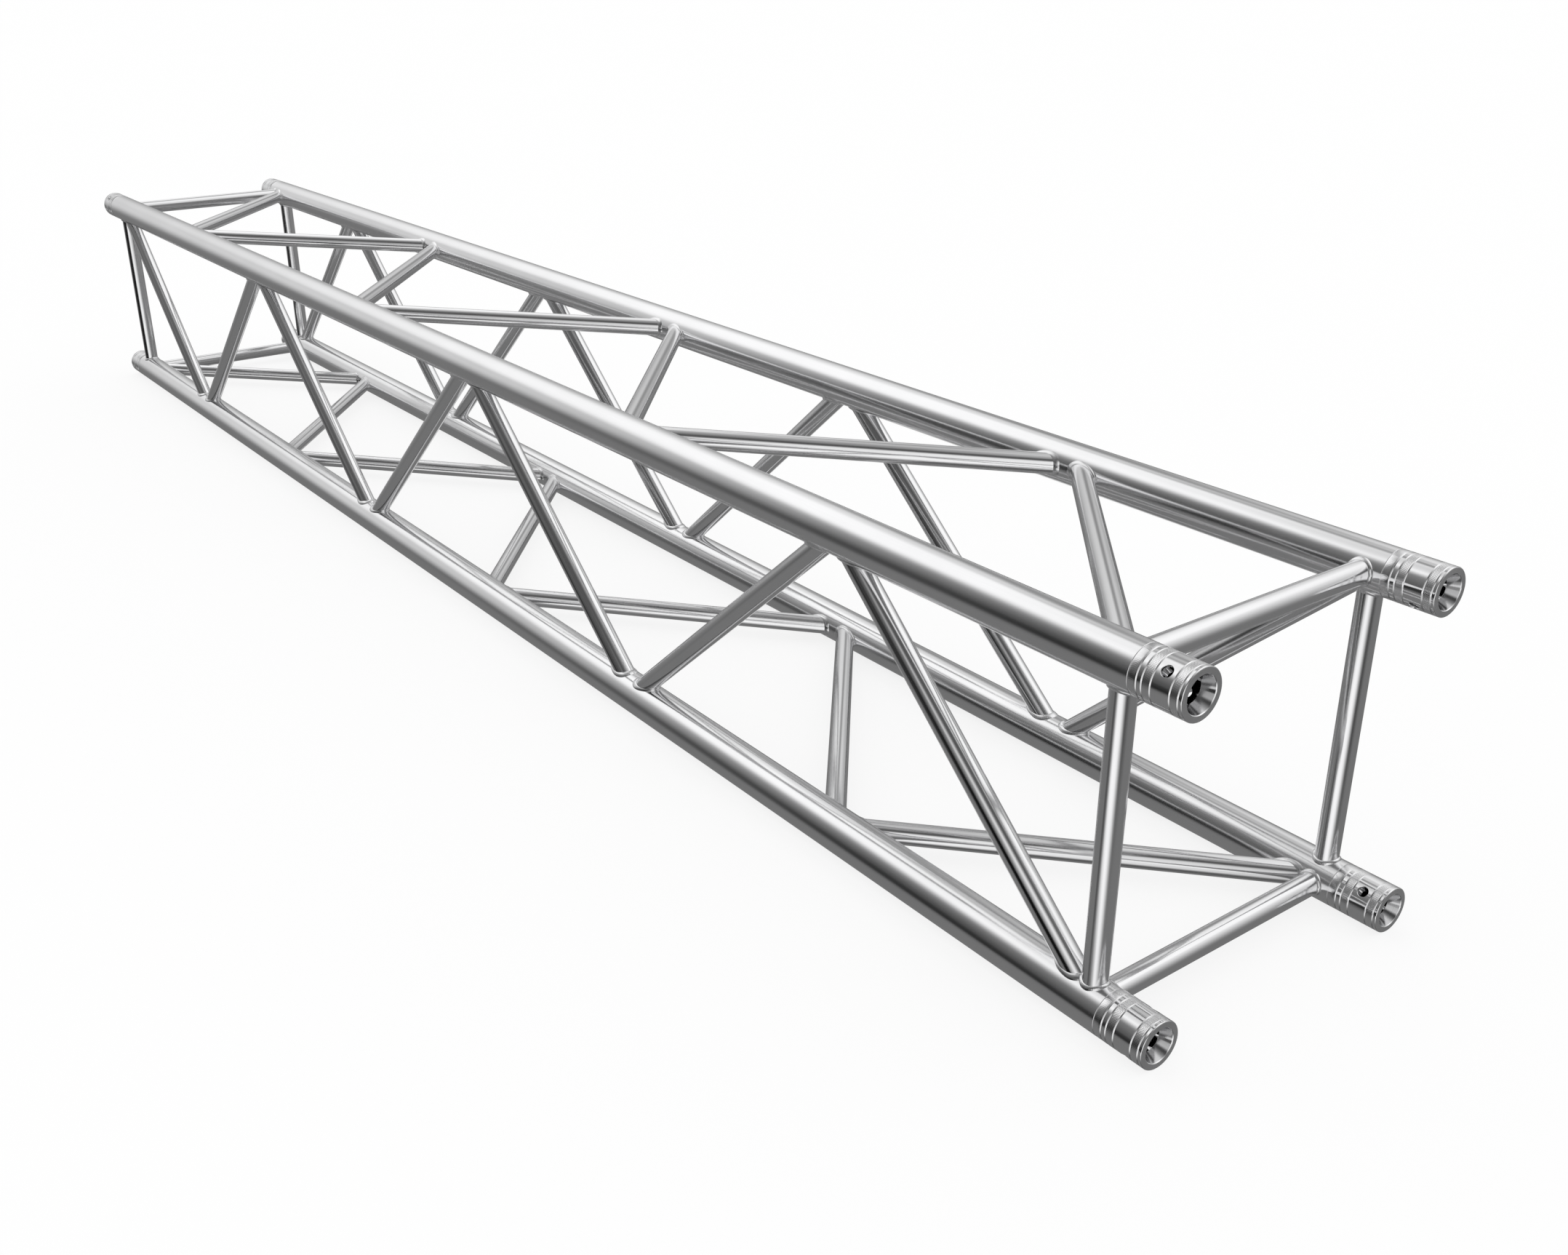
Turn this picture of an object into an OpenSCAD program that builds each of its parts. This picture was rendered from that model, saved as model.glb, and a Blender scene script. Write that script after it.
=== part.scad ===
// Box truss section of welded aluminium tube, for lighting rigs.
// Four chord tubes run along X. Every face has two end braces square to the
// chords and seven diagonals between them. Each chord ends in a receiver: a
// machined socket with a cross hole for a locking pin.
// Millimetres. +X to the right, -Y to the front, +Z up. The origin is on the
// ground under the middle of the section.

/* [Overall size] */
// Length between the outer faces of the left and right receivers
section_length = 3000; // [1500:10:4000]
// Distance between the centrelines of neighbouring chord tubes
chord_spacing = 350; // [250:5:500]

/* [Tubes] */
// Outside diameter of the chord tubes and of the receivers
chord_d = 50; // [40:1:60]
// Wall thickness of the chord tubes
chord_wall = 3; // [2:0.5:5]
// Outside diameter of the brace tubes
brace_d = 25; // [16:1:35]
// Wall thickness of the brace tubes
brace_wall = 3; // [1.5:0.5:4]

/* [Bracing] */
// Distance from an end face to the centreline of the end braces
end_inset = 80; // [76:1:140]
// Length along the chords of each of the five middle bays
middle_bay = 414; // [200:1:450]

/* [Receivers] */
// Length of the full-diameter body of a receiver, from its face to its shoulder
receiver_body = 49; // [40:1:60]
// Width of the weld band between a receiver's shoulder and its chord tube
band_weld_w = 8.5; // [6:0.5:12]
// How far the receiver's neck reaches from the face, inside the chord tube
receiver_reach = 75; // [65:1:100]
// Diameter of the straight part of the socket
socket_d = 26; // [20:0.5:32]
// Diameter of the socket's taper at its mouth
taper_d = 36; // [30:0.5:40]
// Depth from the face at which the taper meets the straight part
taper_depth = 12; // [8:0.5:20]
// Width of the bevel on the socket's mouth
mouth_bevel = 0.6; // [0.2:0.1:1.5]
// Diameter of the cross hole for the locking pin
pin_hole_d = 11; // [8:0.5:14]
// Distance from the face to the centre of the cross hole
pin_hole_at = 23.2; // [18:0.1:30]
// Bevel on the outer edge of the end face
face_bevel = 1.3; // [0.5:0.1:2.5]
// Distance from the face to the first turned groove
groove_1 = 4.4; // [3:0.1:6]
// Distance from the face to the second groove, at the end of the outer grip band
groove_2 = 13.1; // [10:0.1:16]
// Distance from the face to the third groove, past the plain band
groove_3 = 33.3; // [30:0.1:36]
// Distance from the face to the fourth groove, past the inner grip band
groove_4 = 42.5; // [38:0.1:45]
// Distance from the face to the fifth groove, beside the weld
groove_5 = 48.2; // [46:0.1:50]
// Half width and depth of the turned grooves
groove_r = 0.8; // [0.3:0.1:1.5]

/* [Welds] */
// Leg of the bead around the foot of each brace
bead = 3; // [2:0.5:5]

/* [Hidden] */
$fn = 96;
a = chord_spacing / 2;
cr = chord_d / 2;
br = brace_d / 2;
zc = a + cr;
half = section_length / 2;
ex = half - end_inset;
// where the bracing meets the chords, from the left end brace to the right one
stations = concat([-ex], [for (i = [0:5]) (i - 2.5) * middle_bay], [ex]);
tube = [0.74, 0.745, 0.755];
machined = [0.82, 0.825, 0.835];
weld = [0.66, 0.665, 0.67];

// a cylinder along X from x0 to x1
module xcyl(x0, x1, r) translate([x0, 0, 0]) rotate([0, 90, 0]) cylinder(h = x1 - x0, r = r);

// corner i of the square, counted from top front through bottom front, bottom back and top back
module corner(i) translate([0, 0, zc]) rotate([90 * i, 0, 0]) translate([0, -a, a]) children();

// face f of the box, counted from front through bottom, back and top, drawn as the front one
module face(f) translate([0, 0, zc]) rotate([90 * f, 0, 0]) translate([0, -a, 0]) children();

// a cylinder in the plane of a face, starting at [x0, z0] and heading for [x1, z1]
module rod(p0, p1, r, from = 0, to = 0)
  translate([p0[0], 0, p0[1]]) rotate([0, atan2(p1[0] - p0[0], p1[1] - p0[1]), 0])
    translate([0, 0, from]) cylinder(h = (to > 0 ? to : norm(p1 - p0)) - from, r = r);

// the two chords of a face, solid, as cutters
module face_chords(x, reach) for (z = [-a, a]) translate([x, 0, z]) xcyl(-reach, reach, cr);

module chord(i) color(tube) corner(i) difference() {
  xcyl(-half + receiver_body + band_weld_w, half - receiver_body - band_weld_w, cr);
  xcyl(-half, half, cr - chord_wall);
}

// the outline of a receiver: distance from the face along the first axis, radius along the second
function groove(s) = [[s - groove_r, cr], [s, cr - groove_r], [s + groove_r, cr]];
outline = concat(
  [[0, taper_d / 2 + mouth_bevel], [0, cr - face_bevel], [face_bevel, cr]],
  groove(groove_1), groove(groove_2), groove(groove_3), groove(groove_4), groove(groove_5),
  [[receiver_body, cr], [receiver_body, cr - chord_wall],
   [receiver_reach - 1, cr - chord_wall], [receiver_reach, cr - chord_wall - 1],
   [receiver_reach, socket_d / 2], [taper_depth, socket_d / 2], [mouth_bevel, taper_d / 2]]);

// a receiver with its face at x = 0, reaching towards -X
module receiver_body_shape() difference() {
  rotate([0, -90, 0]) rotate_extrude() polygon([for (p = outline) [p[1], p[0]]]);
  translate([-pin_hole_at, 0, 0]) rotate([45, 0, 0])
    translate([0, 0, -cr - 5]) cylinder(h = chord_d + 10, r = pin_hole_d / 2);
}

module receiver(i, right) color(machined) corner(i) {
  if (right) translate([half, 0, 0]) receiver_body_shape();
  else translate([-half, 0, 0]) mirror([1, 0, 0]) receiver_body_shape();
}

// an end brace, square to the chords, with its ends coped to them
module end_brace(f, x) color(tube) face(f) difference() {
  rod([x, a], [x, -a], br);
  rod([x, a + 1], [x, -a - 1], br - brace_wall);
  face_chords(x, 60);
}

// diagonal k of a face: odd ones run down to the right, even ones up to the right
function foot(k, end) = [stations[k - 1 + end], (k + end) % 2 == 1 ? a : -a];
module diagonal_shape(k) difference() {
  rod(foot(k, 0), foot(k, 1), br);
  rod(foot(k, 0), foot(k, 1), br - brace_wall, -1, norm(foot(k, 1) - foot(k, 0)) + 1);
  face_chords((foot(k, 0)[0] + foot(k, 1)[0]) / 2, middle_bay);
  if (k == 1) rod([-ex, a], [-ex, -a], br);
}
// the right half of a face is the left half turned end for end
module diagonal(f, k) color(tube) face(f) {
  if (k < 5) diagonal_shape(k);
  else rotate([0, 180, 0]) diagonal_shape(8 - k);
}

// the bead around one or two feet that leave the chord at p towards the points in list q
module foot_weld(p, q) difference() {
  intersection() {
    union() for (t = q) rod(p, t, br + bead, 5, 90);
    translate([p[0], 0, p[1]]) difference() {
      xcyl(-110, 110, cr + bead);
      xcyl(-111, 111, cr);
    }
  }
  for (t = q) rod(p, t, br, 0, 95);
}

module brace_welds(f) color(weld) face(f) {
  foot_weld([-ex, a], [[-ex, -a], foot(1, 1)]);
  foot_weld([-ex, -a], [[-ex, a]]);
  foot_weld([ex, -a], [[ex, a], foot(7, 0)]);
  foot_weld([ex, a], [[ex, -a]]);
  for (k = [1:6]) {
    foot_weld(foot(k, 1), [foot(k, 0)]);
    foot_weld(foot(k, 1), [foot(k + 1, 1)]);
  }
}

// the weld bands between the receivers and the chord tubes at one end
module receiver_welds(side) color(weld) for (i = [0:3]) corner(i)
  translate([side * (half - receiver_body - band_weld_w / 2), 0, 0]) difference() {
    xcyl(-band_weld_w / 2, band_weld_w / 2, cr);
    xcyl(-band_weld_w, band_weld_w, cr - chord_wall);
  }

module chord_top_front() chord(0);
module chord_bottom_front() chord(1);
module chord_bottom_back() chord(2);
module chord_top_back() chord(3);
module receiver_left_top_front() receiver(0, false);
module receiver_left_bottom_front() receiver(1, false);
module receiver_left_bottom_back() receiver(2, false);
module receiver_left_top_back() receiver(3, false);
module receiver_right_top_front() receiver(0, true);
module receiver_right_bottom_front() receiver(1, true);
module receiver_right_bottom_back() receiver(2, true);
module receiver_right_top_back() receiver(3, true);
module end_brace_left_front() end_brace(0, -ex);
module end_brace_left_bottom() end_brace(1, -ex);
module end_brace_left_back() end_brace(2, -ex);
module end_brace_left_top() end_brace(3, -ex);
module end_brace_right_front() end_brace(0, ex);
module end_brace_right_bottom() end_brace(1, ex);
module end_brace_right_back() end_brace(2, ex);
module end_brace_right_top() end_brace(3, ex);
module diagonal_front_1() diagonal(0, 1);
module diagonal_front_2() diagonal(0, 2);
module diagonal_front_3() diagonal(0, 3);
module diagonal_front_4() diagonal(0, 4);
module diagonal_front_5() diagonal(0, 5);
module diagonal_front_6() diagonal(0, 6);
module diagonal_front_7() diagonal(0, 7);
module diagonal_bottom_1() diagonal(1, 1);
module diagonal_bottom_2() diagonal(1, 2);
module diagonal_bottom_3() diagonal(1, 3);
module diagonal_bottom_4() diagonal(1, 4);
module diagonal_bottom_5() diagonal(1, 5);
module diagonal_bottom_6() diagonal(1, 6);
module diagonal_bottom_7() diagonal(1, 7);
module diagonal_back_1() diagonal(2, 1);
module diagonal_back_2() diagonal(2, 2);
module diagonal_back_3() diagonal(2, 3);
module diagonal_back_4() diagonal(2, 4);
module diagonal_back_5() diagonal(2, 5);
module diagonal_back_6() diagonal(2, 6);
module diagonal_back_7() diagonal(2, 7);
module diagonal_top_1() diagonal(3, 1);
module diagonal_top_2() diagonal(3, 2);
module diagonal_top_3() diagonal(3, 3);
module diagonal_top_4() diagonal(3, 4);
module diagonal_top_5() diagonal(3, 5);
module diagonal_top_6() diagonal(3, 6);
module diagonal_top_7() diagonal(3, 7);
module brace_welds_front() brace_welds(0);
module brace_welds_bottom() brace_welds(1);
module brace_welds_back() brace_welds(2);
module brace_welds_top() brace_welds(3);
module receiver_welds_left() receiver_welds(-1);
module receiver_welds_right() receiver_welds(1);

chord_top_front();
chord_bottom_front();
chord_bottom_back();
chord_top_back();
receiver_left_top_front();
receiver_left_bottom_front();
receiver_left_bottom_back();
receiver_left_top_back();
receiver_right_top_front();
receiver_right_bottom_front();
receiver_right_bottom_back();
receiver_right_top_back();
end_brace_left_front();
end_brace_left_bottom();
end_brace_left_back();
end_brace_left_top();
end_brace_right_front();
end_brace_right_bottom();
end_brace_right_back();
end_brace_right_top();
diagonal_front_1();
diagonal_front_2();
diagonal_front_3();
diagonal_front_4();
diagonal_front_5();
diagonal_front_6();
diagonal_front_7();
diagonal_bottom_1();
diagonal_bottom_2();
diagonal_bottom_3();
diagonal_bottom_4();
diagonal_bottom_5();
diagonal_bottom_6();
diagonal_bottom_7();
diagonal_back_1();
diagonal_back_2();
diagonal_back_3();
diagonal_back_4();
diagonal_back_5();
diagonal_back_6();
diagonal_back_7();
diagonal_top_1();
diagonal_top_2();
diagonal_top_3();
diagonal_top_4();
diagonal_top_5();
diagonal_top_6();
diagonal_top_7();
brace_welds_front();
brace_welds_bottom();
brace_welds_back();
brace_welds_top();
receiver_welds_left();
receiver_welds_right();
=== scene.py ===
import math

import bpy
import numpy as np
from mathutils import Euler, Matrix, Vector


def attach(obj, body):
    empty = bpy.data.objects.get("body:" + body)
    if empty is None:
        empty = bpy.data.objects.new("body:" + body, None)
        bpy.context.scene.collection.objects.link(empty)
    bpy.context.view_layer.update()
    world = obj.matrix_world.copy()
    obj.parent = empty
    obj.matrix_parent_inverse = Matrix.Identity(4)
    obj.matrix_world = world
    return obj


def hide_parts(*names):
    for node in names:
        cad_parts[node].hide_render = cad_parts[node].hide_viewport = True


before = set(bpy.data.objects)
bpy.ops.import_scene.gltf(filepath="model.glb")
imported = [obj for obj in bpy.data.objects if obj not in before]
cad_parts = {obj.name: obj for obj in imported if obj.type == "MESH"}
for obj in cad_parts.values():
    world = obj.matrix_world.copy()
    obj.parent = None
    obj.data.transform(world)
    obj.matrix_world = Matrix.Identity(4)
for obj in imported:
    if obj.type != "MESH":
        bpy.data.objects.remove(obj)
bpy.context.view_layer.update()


# ---------------------------------------------------------------- sizes, metres
A = 0.175  # half the spacing of the chords
ZC = 0.200  # height of the truss's middle
CR = 0.025  # chord radius
CW = 0.003
BR = 0.0125  # brace radius
BW = 0.003
HALF = 1.5
EX = 1.42  # end braces
BAY = 0.414
STATIONS = [-EX] + [(i - 2.5) * BAY for i in range(6)] + [EX]
BODY = 0.049
BAND = 0.0085
FACES = ("front", "bottom", "back", "top")
CORNERS = ("top_front", "bottom_front", "bottom_back", "top_back")


# ---------------------------------------------------------------- camera first
cam_data = bpy.data.cameras.new("camera")
cam_data.lens = 36.043
cam_data.sensor_width = 36.0
cam_data.clip_end = 200.0
cam = bpy.data.objects.new("camera", cam_data)
cam.location = (2.19839, -1.11762, 0.94015)
cam.rotation_euler = Euler([math.radians(v) for v in (6.57922e+01, 4.44000e-02, 5.31039e+01)], "XYZ")
bpy.context.scene.collection.objects.link(cam)
bpy.context.scene.camera = cam


# ---------------------------------------------------------------- node helpers
def new_tree(name):
    mat = bpy.data.materials.new(name)
    mat.use_nodes = True
    nt = mat.node_tree
    nt.nodes.clear()
    out = nt.nodes.new("ShaderNodeOutputMaterial")
    return mat, nt, out


def link(nt, a, b):
    nt.links.new(a, b)


def math_node(nt, op, a, b=None, c=None, clamp=False):
    n = nt.nodes.new("ShaderNodeMath")
    n.operation = op
    n.use_clamp = clamp
    for i, v in enumerate((a, b, c)):
        if v is None:
            continue
        if isinstance(v, (int, float)):
            n.inputs[i].default_value = v
        else:
            link(nt, v, n.inputs[i])
    return n.outputs[0]


def map_range(nt, value, a, b, c, d, mode="LINEAR"):
    n = nt.nodes.new("ShaderNodeMapRange")
    n.interpolation_type = mode
    n.clamp = True
    link(nt, value, n.inputs[0])
    for i, v in enumerate((a, b, c, d)):
        n.inputs[1 + i].default_value = v
    return n.outputs[0]


def noise(nt, vector, scale, detail=3.0, rough=0.55, dims="3D", distortion=0.0):
    n = nt.nodes.new("ShaderNodeTexNoise")
    n.noise_dimensions = dims
    n.inputs["Scale"].default_value = scale
    n.inputs["Detail"].default_value = detail
    n.inputs["Roughness"].default_value = rough
    n.inputs["Distortion"].default_value = distortion
    link(nt, vector, n.inputs["Vector"])
    return n.outputs["Fac"]


def object_coords(nt, scale):
    tc = nt.nodes.new("ShaderNodeTexCoord")
    m = nt.nodes.new("ShaderNodeMapping")
    m.inputs["Scale"].default_value = scale
    link(nt, tc.outputs["Object"], m.inputs["Vector"])
    return m.outputs["Vector"]


def grey_ramp(nt, value, stops):
    n = nt.nodes.new("ShaderNodeValToRGB")
    el = n.color_ramp.elements
    while len(el) > 1:
        el.remove(el[-1])
    el[0].position, el[0].color = stops[0][0], (*stops[0][1], 1)
    for pos, col in stops[1:]:
        e = el.new(pos)
        e.color = (*col, 1)
    link(nt, value, n.inputs["Fac"])
    return n.outputs["Color"]


def bump(nt, height, strength, distance, normal=None):
    n = nt.nodes.new("ShaderNodeBump")
    n.inputs["Strength"].default_value = strength
    n.inputs["Distance"].default_value = distance
    link(nt, height, n.inputs["Height"])
    if normal is not None:
        link(nt, normal, n.inputs["Normal"])
    return n.outputs["Normal"]


def metal(name, along, streak, lo, hi, rough_lo, rough_hi, bump_h, mottled=0.0, radial=0.0):
    """Aluminium whose grain runs along one local axis (0, 1, 2), or round the X axis when along is 'turned'."""
    mat, nt, out = new_tree(name)
    b = nt.nodes.new("ShaderNodeBsdfPrincipled")
    b.inputs["Metallic"].default_value = 1.0
    if along == "turned":
        # rings: only the position along the axis matters, with a little wander
        fine_v = object_coords(nt, (1.0, 0.02, 0.02))
        wide_v = object_coords(nt, (1.0, 0.3, 0.3))
    else:
        s = [1.0, 1.0, 1.0]
        s[along] = 0.012
        fine_v = object_coords(nt, tuple(s))
        s[along] = 0.12
        wide_v = object_coords(nt, tuple(s))
    fine = noise(nt, fine_v, streak, 4.0, 0.6)
    wide = noise(nt, wide_v, 60.0, 3.0, 0.5)
    cloud = noise(nt, object_coords(nt, (1.0, 1.0, 1.0)), 9.0, 4.0, 0.55)
    mixed = math_node(nt, "ADD", math_node(nt, "MULTIPLY", fine, 0.35), math_node(nt, "MULTIPLY", cloud, 0.65))
    link(nt, grey_ramp(nt, mixed, [(0.3, lo), (0.7, hi)]), b.inputs["Base Color"])
    r = math_node(nt, "ADD", math_node(nt, "MULTIPLY", fine, 0.15), math_node(nt, "MULTIPLY", wide, 0.85))
    link(nt, map_range(nt, r, 0.3, 0.7, rough_lo, rough_hi), b.inputs["Roughness"])
    n = bump(nt, fine, 0.5, bump_h)
    if radial:
        # turned rings stretch a reflection outwards from the axis
        b.inputs["Anisotropic"].default_value = radial
        b.inputs["Anisotropic Rotation"].default_value = 0.25
        t = nt.nodes.new("ShaderNodeTangent")
        t.direction_type = "RADIAL"
        t.axis = "X"
        link(nt, t.outputs[0], b.inputs["Tangent"])
    if mottled:
        n = bump(nt, noise(nt, object_coords(nt, (1, 1, 1)), 420.0, 3.0, 0.6), 0.6, mottled, n)
    link(nt, n, b.inputs["Normal"])
    link(nt, b.outputs[0], out.inputs["Surface"])
    return mat


M_CHORD = metal("aluminium_drawn_x", 0, 900.0, (0.825, 0.825, 0.832), (0.885, 0.885, 0.892), 0.14, 0.18, 0.000002)
M_BRACE = metal("aluminium_drawn_z", 2, 900.0, (0.825, 0.825, 0.832), (0.885, 0.885, 0.892), 0.12, 0.16, 0.000002)
M_TURNED = metal("aluminium_turned", "turned", 1500.0, (0.82, 0.82, 0.827), (0.92, 0.92, 0.927), 0.055, 0.10, 0.000005)
# end face: the turned aluminium with a darker base colour, which is painted shade, plus radial anisotropy from its
# turned rings
M_FACED_PAINTED_SHADE = metal("aluminium_faced_painted_shade", "turned", 1500.0, (0.74, 0.74, 0.748), (0.86, 0.86, 0.868), 0.16, 0.24, 0.000004, radial=0.8)
# bored cone inside the mouth: the turned aluminium painted much darker, which is painted shade in the recess
M_CONE_PAINTED_SHADE = metal("aluminium_bored_painted_shade", "turned", 1500.0, (0.46, 0.46, 0.465), (0.62, 0.62, 0.627), 0.10, 0.17, 0.000004)
M_WELD = metal("aluminium_weld", 0, 500.0, (0.76, 0.76, 0.767), (0.91, 0.91, 0.917), 0.13, 0.27, 0.00001, mottled=0.00005)


# ---------------------------------------------------------------- mesh helpers
def build(name, verts, faces, mat, slot, node=None, angle=35.0, mesh=None):
    if mesh is None:
        verts = np.asarray(verts, float)
        used = np.unique(np.concatenate([np.asarray(f).ravel() for f in faces]))
        remap = -np.ones(len(verts), int)
        remap[used] = np.arange(len(used))
        polys = []
        for f in faces:
            f = np.asarray(f)
            polys += remap[f].tolist()
        mesh = bpy.data.meshes.new(name)
        mesh.from_pydata(verts[used].tolist(), [], polys)
        mesh.validate()
        mesh.polygons.foreach_set("use_smooth", [True] * len(mesh.polygons))
        mesh.set_sharp_from_angle(angle=math.radians(angle))
        mesh.materials.append(mat)
        mesh.update()
    ob = bpy.data.objects.new(name, mesh)
    bpy.context.scene.collection.objects.link(ob)
    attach(ob, "root")
    if node:
        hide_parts(node)
    return ob


def grid_faces(rows, cols, base=0, wrap=True):
    """Quads of a grid of rows by cols, whose columns wrap round."""
    i, j = np.mgrid[0 : rows - 1, 0 : cols if wrap else cols - 1]
    k = (j + 1) % cols
    return np.stack([base + i * cols + j, base + i * cols + k, base + (i + 1) * cols + k, base + (i + 1) * cols + j], -1)


def corner_matrix(i):
    """From the frame of a chord at the top front corner, with its own axis on X, to corner i."""
    turn = Matrix.Rotation(math.radians(90 * i), 4, "X")
    return Matrix.Translation((0, 0, ZC)) @ turn @ Matrix.Translation((0, -A, A))


def face_matrix(f):
    turn = Matrix.Rotation(math.radians(90 * f), 4, "X")
    return Matrix.Translation((0, 0, ZC)) @ turn @ Matrix.Translation((0, -A, 0))


# ---------------------------------------------------------------- chord tubes
def chord_mesh():
    n = 144
    th = np.arange(n) / n * 2 * math.pi
    x1 = HALF - BODY - BAND
    c = 0.0003
    prof = [(-x1, CR - c)] + [(-x1 + c, CR)] + [(x, CR) for x in np.linspace(-x1 + 0.02, x1 - 0.02, 25)] + [(x1 - c, CR), (x1, CR - c)]
    prof += [(x1, CR - CW)] + [(x, CR - CW) for x in np.linspace(x1 - 0.02, -x1 + 0.02, 9)] + [(-x1, CR - CW)]
    v = np.concatenate([np.stack([np.full(n, x), -r * np.sin(th), r * np.cos(th)], -1) for x, r in prof])
    f = grid_faces(len(prof), n).reshape(-1, 4)
    last = (len(prof) - 1) * n
    j = np.arange(n)
    k = (j + 1) % n
    f = np.concatenate([f, np.stack([last + j, last + k, k, j], -1)])
    return v, [f]


chord = None
for i, c in enumerate(CORNERS):
    if chord is None:
        chord = build("chord_tube_" + c, *chord_mesh(), M_CHORD, "tube", "chord_" + c)
        ob = chord
    else:
        ob = build("chord_tube_" + c, None, None, M_CHORD, "tube", "chord_" + c, mesh=chord.data)
    ob.matrix_local = corner_matrix(i)


# ---------------------------------------------------------------- brace tubes
def cope(phi, r, big, c):
    """How far along its axis a tube of radius r meets a round bar of radius big that crosses its start along c."""
    cx, cz = c if c[0] > 0 else (-c[0], -c[1])
    return (np.sqrt(np.maximum(big**2 - (r * np.sin(phi)) ** 2, 0)) + r * np.cos(phi) * cz) / cx


def local_frame(p, q):
    """A brace's own frame in the plane of its face: origin at p, Z towards q, Y along the face's own Y."""
    d = Vector((q[0] - p[0], 0, q[1] - p[1]))
    length = d.length
    z = d.normalized()
    y = Vector((0, 1, 0))
    x = y.cross(z)
    m = Matrix((x, y, z)).transposed().to_4x4()
    m.translation = Vector((p[0], 0, p[1]))
    return m, length, x, z


def brace_mesh(p, q, start_other=None, end_other=None):
    m, length, x, z = local_frame(p, q)
    n = 96
    phi = np.arange(n) / n * 2 * math.pi
    chord_dir = (x.x, z.x)  # the chord's direction, seen in the brace's own x and z

    def t_of(r, other, flip):
        c = (chord_dir[0], chord_dir[1] * (-1 if flip else 1))
        t = cope(phi, r, CR, c)
        if other is not None:
            e = (x.z, z.z * (-1 if flip else 1))
            cx, cz = e if e[0] > 0 else (-e[0], -e[1])
            reach = np.sqrt(np.maximum(BR**2 - (r * np.sin(phi)) ** 2, 0))
            t = np.maximum(t, (reach + r * np.cos(phi) * cz) / cx)
        return t

    rows = []
    for r, order in ((BR, 1), (BR - BW, -1)):
        t0, t1 = t_of(r, start_other, False), length - t_of(r, end_other, True)
        steps = [0, 0.02, 0.06, 0.12, 0.2, 0.3, 0.4, 0.5, 0.6, 0.7, 0.8, 0.88, 0.94, 0.98, 1]
        if order < 0:
            steps = [1, 0.5, 0]
        for s in steps:
            t = t0 * (1 - s) + t1 * s
            rows.append(np.stack([r * np.cos(phi), r * np.sin(phi), t], -1))
    v = np.concatenate(rows)
    f = grid_faces(len(rows), n).reshape(-1, 4)
    j = np.arange(n)
    k = (j + 1) % n
    last = (len(rows) - 1) * n
    f = np.concatenate([f, np.stack([last + j, last + k, k, j], -1)])
    return v, [f], m


def foot(k, end):
    return (STATIONS[k - 1 + end], A if (k + end) % 2 == 1 else -A)


def brace(name, f, p, q, mesh, start_other=None, end_other=None):
    if mesh is None:
        v, fc, m = brace_mesh(p, q, start_other, end_other)
        ob = build(name + "_tube", v, fc, M_BRACE, "tube", name)
    else:
        m = local_frame(p, q)[0]
        ob = build(name + "_tube", None, None, M_BRACE, "tube", name, mesh=mesh)
    ob.matrix_local = face_matrix(f) @ m
    return ob


shared = {}
for f, face_name in enumerate(FACES):
    for side, x in (("left", -EX), ("right", EX)):
        ob = brace(f"end_brace_{side}_{face_name}", f, (x, A), (x, -A), shared.get("end"))
        shared["end"] = ob.data
    for k in range(1, 8):
        kind = "first" if k == 1 else "last" if k == 7 else "odd" if k % 2 else "even"
        ob = brace(
            f"diagonal_{face_name}_{k}", f, foot(k, 0), foot(k, 1), shared.get(kind),
            start_other=True if k == 1 else None, end_other=True if k == 7 else None,
        )
        shared[kind] = ob.data


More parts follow.
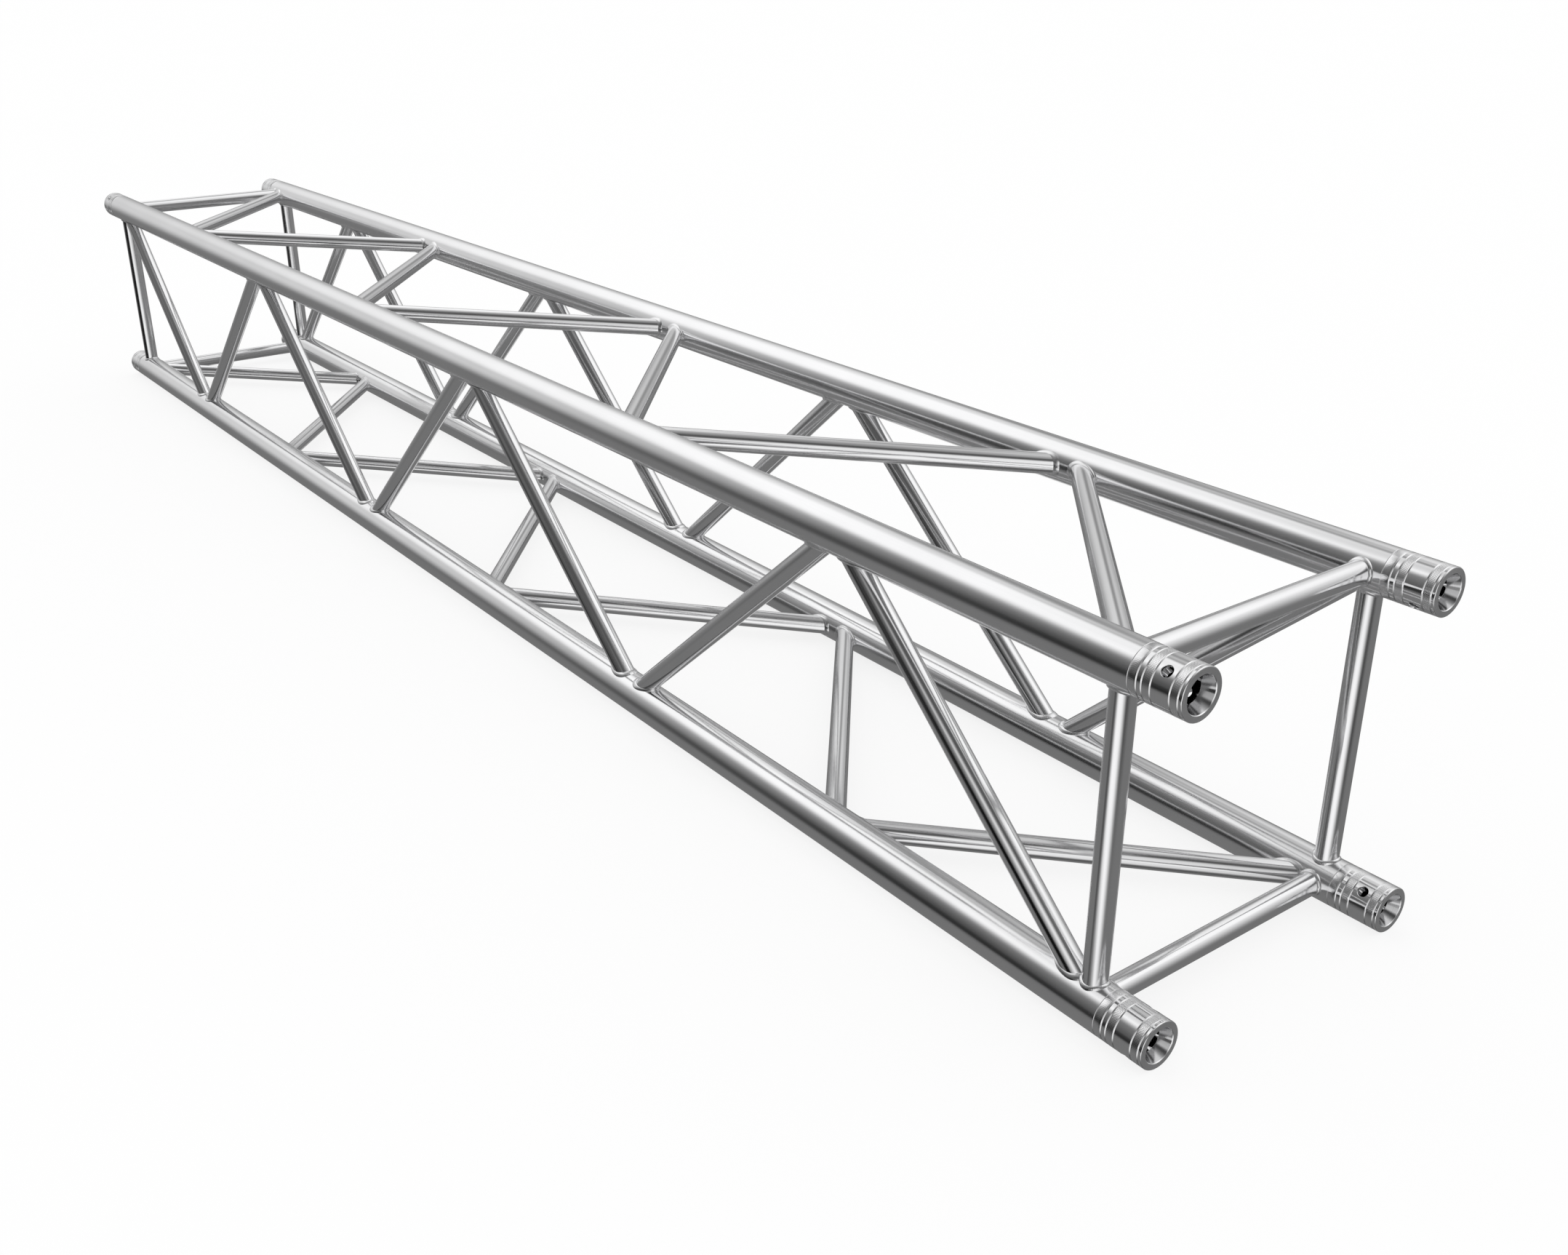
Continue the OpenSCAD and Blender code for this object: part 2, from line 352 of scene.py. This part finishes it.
# ---------------------------------------------------------------- receivers
def receiver_mesh():
    """Face at x = 0, reaching to -X, with its cross hole along the diagonal between -Y and +Z."""
    N, N2 = 480, 160
    th = np.arange(N) / N * 2 * math.pi
    mm = 0.001
    P = []  # rows: (distance from the face, radius or array of radii)

    def plain(s, r):
        P.append((s, np.full(N, r)))

    def groove(s):
        for ds, dr in ((-0.75, 0), (0, 0.72), (0.75, 0)):
            plain(s + ds, 25 - dr)

    def knurl(s0, rows):
        """Crossed V lines at 45 degrees that leave flat-topped diamonds, 96 round."""
        step = 2 * math.pi * 25 / N
        j = np.arange(N)
        for i in range(rows):
            cut = np.where((i + j) % 5 == 0, 1.0, 0.0) + np.where((i - j) % 5 == 0, 1.0, 0.0)
            fade = min(1.0, i / 1.0, (rows - 1 - i) / 1.0)
            P.append((s0 + i * step, 25 - 0.15 * fade * np.minimum(cut, 1.15)))

    plain(0.0, 23.6)
    for a_ in (0, 15, 30, 45, 60, 75, 90):
        a_ = math.radians(a_)
        plain(1.3 - 1.3 * math.cos(a_), 23.7 + 1.3 * math.sin(a_))
    plain(1.4, 25.0)
    groove(4.4)
    knurl(5.3, 22)
    groove(13.1)
    plain(15.0, 25.0)
    first = len(P)
    for s in np.linspace(23.2 - 7, 23.2 + 7, 41):
        plain(s, 25.0)
    last = len(P) - 1
    plain(31.5, 25.0)
    groove(33.3)
    knurl(34.3, 23)
    groove(42.5)
    plain(45.0, 25.0)
    groove(48.1)
    plain(49.0, 24.9)
    plain(49.0, 22.0)
    plain(74.0, 22.0)
    plain(75.0, 21.0)
    v = np.concatenate([np.stack([np.full(N, -s), -r * np.sin(th), r * np.cos(th)], -1) for s, r in P])
    quads = grid_faces(len(P), N)
    hw = 20
    keep = np.ones(quads.shape[:2], bool)
    for centre in (0, N // 2):
        cols = (centre + np.arange(-hw, hw)) % N
        keep[first:last, cols] = False
    faces = [quads[keep]]
    verts = [v]
    count = len(v)

    # inside: from the mouth to the back, N2 columns
    th2 = np.arange(N2) / N2 * 2 * math.pi
    inner = [(0.0, 18.7), (0.0, 18.6), (0.6, 18.0), (0.8, 18 - 5 * 0.2 / 11.4)]
    inner += [(s, 18 - 5 * (s - 0.6) / 11.4) for s in np.linspace(1.6, 11.6, 10)]
    inner += [(11.85, 13 + 5 * 0.15 / 11.4), (12.0, 13.0), (12.15, 13.0), (12.6, 13.0)]
    first2 = len(inner)
    inner += [(s, 13.0) for s in np.linspace(23.2 - 8, 23.2 + 8, 53)]
    last2 = len(inner) - 1
    inner += [(s, 13.0) for s in np.linspace(36, 75, 8)]
    vi = np.concatenate([np.stack([np.full(N2, -s), -r * np.sin(th2), r * np.cos(th2)], -1) for s, r in inner])
    base2 = count
    q2 = grid_faces(len(inner), N2, base2)[..., ::-1]
    hw2 = 14
    keep2 = np.ones(q2.shape[:2], bool)
    for centre in (0, N2 // 2):
        cols = (centre + np.arange(-hw2, hw2)) % N2
        keep2[first2:last2, cols] = False
    faces.append(q2[keep2])
    verts.append(vi)
    count += len(vi)

    # the end face and the back face join 480 columns to 160
    j = np.arange(N2)
    outer0, outer1 = 0, (len(P) - 1) * N
    hexes = []
    for ring_o, ring_i, flip in ((outer0, base2, False), (outer1, base2 + (len(inner) - 1) * N2, True)):
        h = np.stack([ring_o + (3 * j) % N, ring_o + (3 * j + 1) % N, ring_o + (3 * j + 2) % N, ring_o + (3 * j + 3) % N,
                      ring_i + (j + 1) % N2, ring_i + j], -1)
        hexes.append(h[:, ::-1] if not flip else h)
    faces += hexes

    # the cross hole: a ring of patches on the outside, the bevel, the wall, and patches on the bore
    M = 160
    for centre, centre2, sign in ((0, 0, 1), (N // 2, N2 // 2, -1)):
        def boundary(rows0, rows1, c0, half, cols, base, n_rows):
            path = []
            for c in range(-half, half):
                path.append((rows0, c))
            for r in range(rows0, rows1):
                path.append((r, half))
            for c in range(half, -half, -1):
                path.append((rows1, c))
            for r in range(rows1, rows0, -1):
                path.append((r, -half))
            return np.array([base + r * cols + (c0 + c) % cols for r, c in path])

        bo = boundary(first, last, centre, hw, N, 0, len(P))
        bi = boundary(first2, last2, centre2, hw2, N2, base2, len(inner))
        assert len(bo) == M and len(bi) == M
        # uniform angles that start at the corner (row first, column -half)
        allv = np.concatenate(verts)
        ang = math.pi / 4 + np.arange(M) / M * 2 * math.pi
        # local plane of the hole: a along -x (away from the face), b along the column direction
        def circle(rad):
            ds = -np.cos(ang - 0) * rad  # towards the face at the start corner
            dc = -np.sin(ang) * rad
            return ds, dc

        def on_cyl(ds, dc, big, lift=0.0):
            """Points at offset ds along the axis and dc across, on a cylinder of radius big."""
            zz = np.sqrt(big**2 - dc**2) - lift
            return np.stack([-(23.2 + ds), -sign * dc * 1.0, sign * zz], -1)

        # the corner path runs from (row first, col -half): row first is nearest the face (ds = -7)
        col_off = lambda p: p
        def plane_of(idx):
            p = allv[idx]
            return -p[:, 0] - 23.2, -sign * p[:, 1]

        so, co = plane_of(bo)
        a_o = np.arctan2(co, so)
        # start the circle at the same angle as the corner and run the same way round
        a0 = a_o[0]
        step = np.sign(np.angle(np.exp(1j * (a_o[1] - a_o[0]))))
        uni = a0 + step * np.arange(M) / M * 2 * math.pi
        def ring(rad, big, lift=0.0):
            return on_cyl(rad * np.cos(uni), rad * np.sin(uni), big, lift)

        rings = []
        K = 5
        for q in range(1, K):
            w = (q / K) ** 0.9
            cs, cc = 5.9 * np.cos(uni), 5.9 * np.sin(uni)
            rings.append(on_cyl(so * (1 - w) + cs * w, co * (1 - w) + cc * w, 25.0))
        rings.append(ring(5.9, 25.0))
        rings.append(ring(5.86, 25.0, 0.03))
        rings.append(ring(5.55, 25.0, 0.33))
        rings.append(ring(5.5, 25.0, 0.42))
        for zlev in (0.25, 0.5, 0.75):
            top = ring(5.5, 25.0, 0.42)
            bot = ring(5.5, 13.0)
            rings.append(top * (1 - zlev) + bot * zlev)
        rings.append(ring(5.5, 13.0))
        si, ci = plane_of(bi)
        for w in (0.34, 0.67):
            cs, cc = 5.5 * np.cos(uni), 5.5 * np.sin(uni)
            rings.append(on_cyl(cs * (1 - w) + si * w, cc * (1 - w) + ci * w, 13.0))
        rv = np.concatenate(rings)
        base3 = count
        verts.append(rv)
        count += len(rv)
        j = np.arange(M)
        k = (j + 1) % M
        order = [bo] + [base3 + r * M + j for r in range(len(rings))] + [bi]
        strip = []
        for a_, b_ in zip(order[:-1], order[1:]):
            strip.append(np.stack([a_[j], a_[k], b_[k], b_[j]], -1))
        faces.append(np.concatenate(strip))
    out = np.concatenate(verts) * 0.001
    c = math.sqrt(0.5)
    y, z = out[:, 1].copy(), out[:, 2].copy()
    out[:, 1], out[:, 2] = c * y - c * z, c * y + c * z
    return out, faces


def fix_normals(mesh):
    import bmesh

    bm = bmesh.new()
    bm.from_mesh(mesh)
    bmesh.ops.recalc_face_normals(bm, faces=bm.faces[:])
    bm.to_mesh(mesh)
    bm.free()
    mesh.set_sharp_from_angle(angle=math.radians(35))


def receiver_matrix(i, right):
    m = corner_matrix(i) @ Matrix.Translation((HALF if right else -HALF, 0, 0))
    if not right:
        m = m @ Matrix.Rotation(math.pi, 4, "Z")
        m = m @ Matrix.Rotation(math.radians(-90), 4, "X")
    return m


rec = None
for side in ("right", "left"):
    for i, c in enumerate(CORNERS):
        name = f"receiver_{side}_{c}"
        if rec is None:
            ob = build(name + "_turned", *receiver_mesh(), M_TURNED, "machined", name)
            fix_normals(ob.data)
            rec = ob.data
            rec.materials.append(M_FACED_PAINTED_SHADE)
            rec.materials.append(M_CONE_PAINTED_SHADE)
            for p in rec.polygons:
                r = math.hypot(p.center.y, p.center.z)
                if p.center.x > -0.0001:
                    # end face: the copy of the turned aluminium with painted shade
                    p.material_index = 1
                elif p.center.x > -0.0119 and 0.0128 < r < 0.0179:
                    # cone inside the mouth: the copy of the turned aluminium with painted shade in the recess
                    p.material_index = 2
        else:
            ob = build(name + "_turned", None, None, M_TURNED, "machined", name, mesh=rec)
        ob.matrix_local = receiver_matrix(i, side == "right")


# ---------------------------------------------------------------- weld bands at the receivers
def band_mesh():
    n, rows = 416, 15
    th = np.arange(n) / n * 2 * math.pi
    rng = np.random.RandomState(4)
    w = [rng.uniform(-1, 1, 2) for _ in range(12)]
    wander = sum(a * np.cos((q + 2) * th) + b * np.sin((q + 2) * th) for q, (a, b) in enumerate(w)) / 8
    v = []
    for i in range(rows):
        s = i / (rows - 1)
        crown = 1 - (2 * s - 1) ** 2
        edge = 0.00025 * wander * (s > 0.9)
        ph = 104 * th / (2 * math.pi) + 0.9 * crown + 0.5 * wander
        rip = np.abs(np.sin(math.pi * ph))
        r = 0.02465 + 0.00028 * crown**0.7 + 0.00005 * (1 + 0.8 * wander) * rip * min(1, 4 * crown)
        x = -(BODY + 0.00005 + (BAND - 0.0001) * s) + edge * 0
        v.append(np.stack([np.full(n, x), -r * np.sin(th), r * np.cos(th)], -1))
    for x in (-(BODY + BAND - 0.00005), -(BODY + 0.00005)):
        v.append(np.stack([np.full(n, x), -0.0221 * np.sin(th), 0.0221 * np.cos(th)], -1))
    total = rows + 2
    f = grid_faces(total, n).reshape(-1, 4)
    j = np.arange(n)
    k = (j + 1) % n
    last_ = (total - 1) * n
    f = np.concatenate([f, np.stack([last_ + j, last_ + k, k, j], -1)])
    return np.concatenate(v), [f]


band = None
for side in ("right", "left"):
    for i, c in enumerate(CORNERS):
        name = f"band_weld_{side}_{c}"
        if band is None:
            ob = build(name, *band_mesh(), M_WELD, "weld", "receiver_welds_" + side, angle=60)
            fix_normals(ob.data)
            band = ob.data
        else:
            ob = build(name, None, None, M_WELD, "weld", "receiver_welds_" + side, mesh=band)
        ob.matrix_local = receiver_matrix(i, side == "right") @ Matrix.Rotation(math.radians(90 * i), 4, "X")


# ---------------------------------------------------------------- beads at the brace feet
def bead_loop(p, q, seed):
    """A rippled fillet round the foot of the brace that leaves the chord at p towards q, in the face's frame."""
    m, length, x, z = local_frame(p, q)
    n, rows = 252, 9
    phi = np.arange(n) / n * 2 * math.pi
    rng = np.random.RandomState(seed)
    wob = sum(rng.uniform(-1, 1) * np.cos((k + 1) * phi + rng.uniform(0, 6.3)) for k in range(9)) / 5
    strong = 0.75 + 0.5 * sum(rng.uniform(-1, 1) * np.cos(k * phi + rng.uniform(0, 6.3)) for k in (3, 5, 8, 13)) / 2
    c = (x.x, z.x)
    leg = 0.0024 + 0.00022 * wob
    ripples = int(round(2 * math.pi * 0.0155 / 0.0021 / max(0.62, abs(z.z)) ** 0.5))
    lo_r = BR + leg
    t_lo = cope(phi, lo_r, CR - 0.00012, c)
    a0 = np.stack([lo_r * np.cos(phi), lo_r * np.sin(phi), t_lo], -1)
    t_hi = cope(phi, BR - 0.0001, CR + 0.0025 + 0.0002 * wob, c)
    a1 = np.stack([(BR - 0.0001) * np.cos(phi), (BR - 0.0001) * np.sin(phi), t_hi], -1)
    t_rt = cope(phi, BR - 0.0008, CR - 0.0008, c)
    a2 = np.stack([(BR - 0.0008) * np.cos(phi), (BR - 0.0008) * np.sin(phi), t_rt], -1)
    out = (a0 + a1) / 2 - a2
    out /= np.linalg.norm(out, axis=1, keepdims=True)
    v = []
    for i in range(rows):
        s = i / (rows - 1)
        crown = 1 - (2 * s - 1) ** 2
        ph = ripples * phi / (2 * math.pi) + 0.45 * crown + 0.7 * wob
        rip = np.abs(np.sin(math.pi * ph)) ** 0.8
        lift = 0.00066 * crown + 0.00007 * strong * (rip - 0.35) * crown**0.5
        lift = lift + 0.000015 * crown * rng.uniform(-1, 1, n)
        v.append(a0 * (1 - s) + a1 * s + out * lift[:, None])
    v.append(a2)
    v = np.concatenate(v)
    total = rows + 1
    f = grid_faces(total, n).reshape(-1, 4)
    j = np.arange(n)
    k = (j + 1) % n
    last_ = (total - 1) * n
    f = np.concatenate([f, np.stack([last_ + j, last_ + k, k, j], -1)])
    mat = np.array(m)
    v = v @ mat[:3, :3].T + mat[:3, 3]
    return v, f


def face_beads():
    feet = []
    for x in (-EX, EX):
        feet += [((x, A), (x, -A)), ((x, -A), (x, A))]
    for k in range(1, 8):
        feet += [(foot(k, 0), foot(k, 1)), (foot(k, 1), foot(k, 0))]
    vs, fs, base = [], [], 0
    for s, (p, q) in enumerate(feet):
        v, f = bead_loop(p, q, 100 + s)
        vs.append(v)
        fs.append(f + base)
        base += len(v)
    return np.concatenate(vs), fs


beads = None
for f, face_name in enumerate(FACES):
    name = f"brace_beads_{face_name}"
    if beads is None:
        ob = build(name, *face_beads(), M_WELD, "weld", "brace_welds_" + face_name, angle=60)
        fix_normals(ob.data)
        beads = ob.data
    else:
        ob = build(name, None, None, M_WELD, "weld", "brace_welds_" + face_name, mesh=beads)
    ob.matrix_local = face_matrix(f)


# ---------------------------------------------------------------- floor and studio
mat, nt, out = new_tree("floor_pale")
d = nt.nodes.new("ShaderNodeBsdfDiffuse")
v = noise(nt, object_coords(nt, (1, 1, 1)), 0.6, 2.0, 0.5)
link(nt, grey_ramp(nt, v, [(0.3, (0.975, 0.975, 0.975)), (0.7, (0.985, 0.985, 0.985))]), d.inputs["Color"])
glow = nt.nodes.new("ShaderNodeEmission")
glow.inputs["Strength"].default_value = 1.0
halves = nt.nodes.new("ShaderNodeMixShader")
halves.inputs[0].default_value = 0.82
link(nt, d.outputs[0], halves.inputs[1])
link(nt, glow.outputs[0], halves.inputs[2])
link(nt, halves.outputs[0], out.inputs["Surface"])
mat.cycles.emission_sampling = "NONE"
fm = bpy.data.meshes.new("floor")
S = 60.0
fm.from_pydata([(-S, -S, 0), (S, -S, 0), (S, S, 0), (-S, S, 0)], [], [(0, 1, 2, 3)])
fm.materials.append(mat)
floor = bpy.data.objects.new("floor", fm)
bpy.context.scene.collection.objects.link(floor)
floor.visible_glossy = False

world = bpy.data.worlds.new("studio")
bpy.context.scene.world = world
world.use_nodes = True
nt = world.node_tree
nt.nodes.clear()
wout = nt.nodes.new("ShaderNodeOutputWorld")
tc = nt.nodes.new("ShaderNodeTexCoord")


def panel(az, el, half_az, half_el, soft_az, soft_el):
    """A soft-edged light panel in the studio, centred on a direction, as a factor from 0 to 1."""
    r = nt.nodes.new("ShaderNodeVectorRotate")
    r.rotation_type = "Z_AXIS"
    link(nt, tc.outputs["Generated"], r.inputs["Vector"])
    r.inputs["Angle"].default_value = -math.radians(az)
    sep = nt.nodes.new("ShaderNodeSeparateXYZ")
    link(nt, r.outputs[0], sep.inputs[0])
    a = math_node(nt, "ABSOLUTE", math_node(nt, "ARCTAN2", sep.outputs[1], sep.outputs[0]))
    e = math_node(nt, "ARCSINE", sep.outputs[2])
    e = math_node(nt, "ABSOLUTE", math_node(nt, "SUBTRACT", e, math.radians(el)))
    rad = math.radians
    fa = map_range(nt, a, rad(half_az - soft_az), rad(half_az + soft_az), 1, 0, "SMOOTHSTEP")
    fe = map_range(nt, e, rad(half_el - soft_el), rad(half_el + soft_el), 1, 0, "SMOOTHSTEP")
    return math_node(nt, "MULTIPLY", fa, fe)


def srgb(g):
    g /= 255.0
    return g / 12.92 if g <= 0.04045 else ((g + 0.055) / 1.055) ** 2.4


ALB = 0.84
LIGHTS = [
    # az, el, half az, half el, soft az, soft el, grey seen in a tube
    (-169, 43, 39, 21, 14, 17, 247),
    (72, 56, 59, 24, 47, 8, 245),
    (-56, -6, 22, 44, 20, 11, 230),
    (-43, -14, 23, 5, 13, 4, 236),
    (135, 70, 114, 57, 28, 39, 143),
    (47, 90, 145, 10, 57, 30, 230),
    (113, 28, 86, 5, 10, 40, 252),
    (-158, 12, 20, 12, 13, 12, 203),
    (-71, -28, 17, 7, 15, 2, 246),
    (-24, -7, 14, 9, 12, 7, 190),
    (139, -33, 11, 5, 8, 5, 224),
]
DARKS = [
    (-106, -5, 8, 17, 3, 3, 0.93),
    (-98, 12, 42, 33, 17, 5, 0.64),
    (-27, -20, 27, 9, 20, 5, 0.81),
    (-8, -74, 74, 14, 20, 5, 0.42),
    (-121, -9, 11, 8, 4, 4, 0.78),
]
# flags that stand in front of the panels: az, el, half az, half el, soft az, soft el, share held back
FLAGS = [
    (-89, -10, 19, 10, 6, 3, 0.93),
    (133, 27, 6, 17, 5, 12, 0.58),
    (146, 54, 7, 9, 4, 5, 0.42),
    (-134, 10, 12, 30, 10, 14, 0.54),
    (-110, -30, 8, 11, 4, 4, 0.50),
    (-84, -41, 14, 8, 8, 4, 0.42),
    (-52, 50, 38, 10, 14, 6, 0.32),
    (-85, 29, 7, 12, 4, 5, 0.35),
]
total = None
low = nt.nodes.new("ShaderNodeSeparateXYZ")
link(nt, tc.outputs["Generated"], low.inputs[0])
fill = map_range(nt, low.outputs[2], 0.0, 1.0, srgb(110) / ALB, srgb(86) / ALB)
for d_ in DARKS:
    k = panel(*d_[:6])
    fill = math_node(nt, "MULTIPLY", fill, math_node(nt, "SUBTRACT", 1.0, math_node(nt, "MULTIPLY", k, d_[6])))
total = fill
for L in LIGHTS:
    k = panel(*L[:6])
    level = srgb(L[6]) / ALB
    # lift towards the panel's level
    total = math_node(nt, "ADD", math_node(nt, "MULTIPLY", total, math_node(nt, "SUBTRACT", 1.0, k)), math_node(nt, "MULTIPLY", k, math_node(nt, "MAXIMUM", total, level)))

for d_ in FLAGS:
    total = math_node(nt, "MULTIPLY", total, math_node(nt, "SUBTRACT", 1.0, math_node(nt, "MULTIPLY", panel(*d_[:6]), d_[6])))

comb = nt.nodes.new("ShaderNodeCombineColor")
for i in range(3):
    link(nt, total, comb.inputs[i])
bg_studio = nt.nodes.new("ShaderNodeBackground")
link(nt, comb.outputs[0], bg_studio.inputs["Color"])
bg_white = nt.nodes.new("ShaderNodeBackground")
bg_white.inputs["Color"].default_value = (1.0, 1.0, 1.0, 1)
lp = nt.nodes.new("ShaderNodeLightPath")
mix = nt.nodes.new("ShaderNodeMixShader")
link(nt, lp.outputs["Is Glossy Ray"], mix.inputs[0])
link(nt, bg_white.outputs[0], mix.inputs[1])
link(nt, bg_studio.outputs[0], mix.inputs[2])
link(nt, mix.outputs[0], wout.inputs["Surface"])
world.cycles.sampling_method = "NONE"
bpy.context.scene.view_settings.view_transform = "Standard"
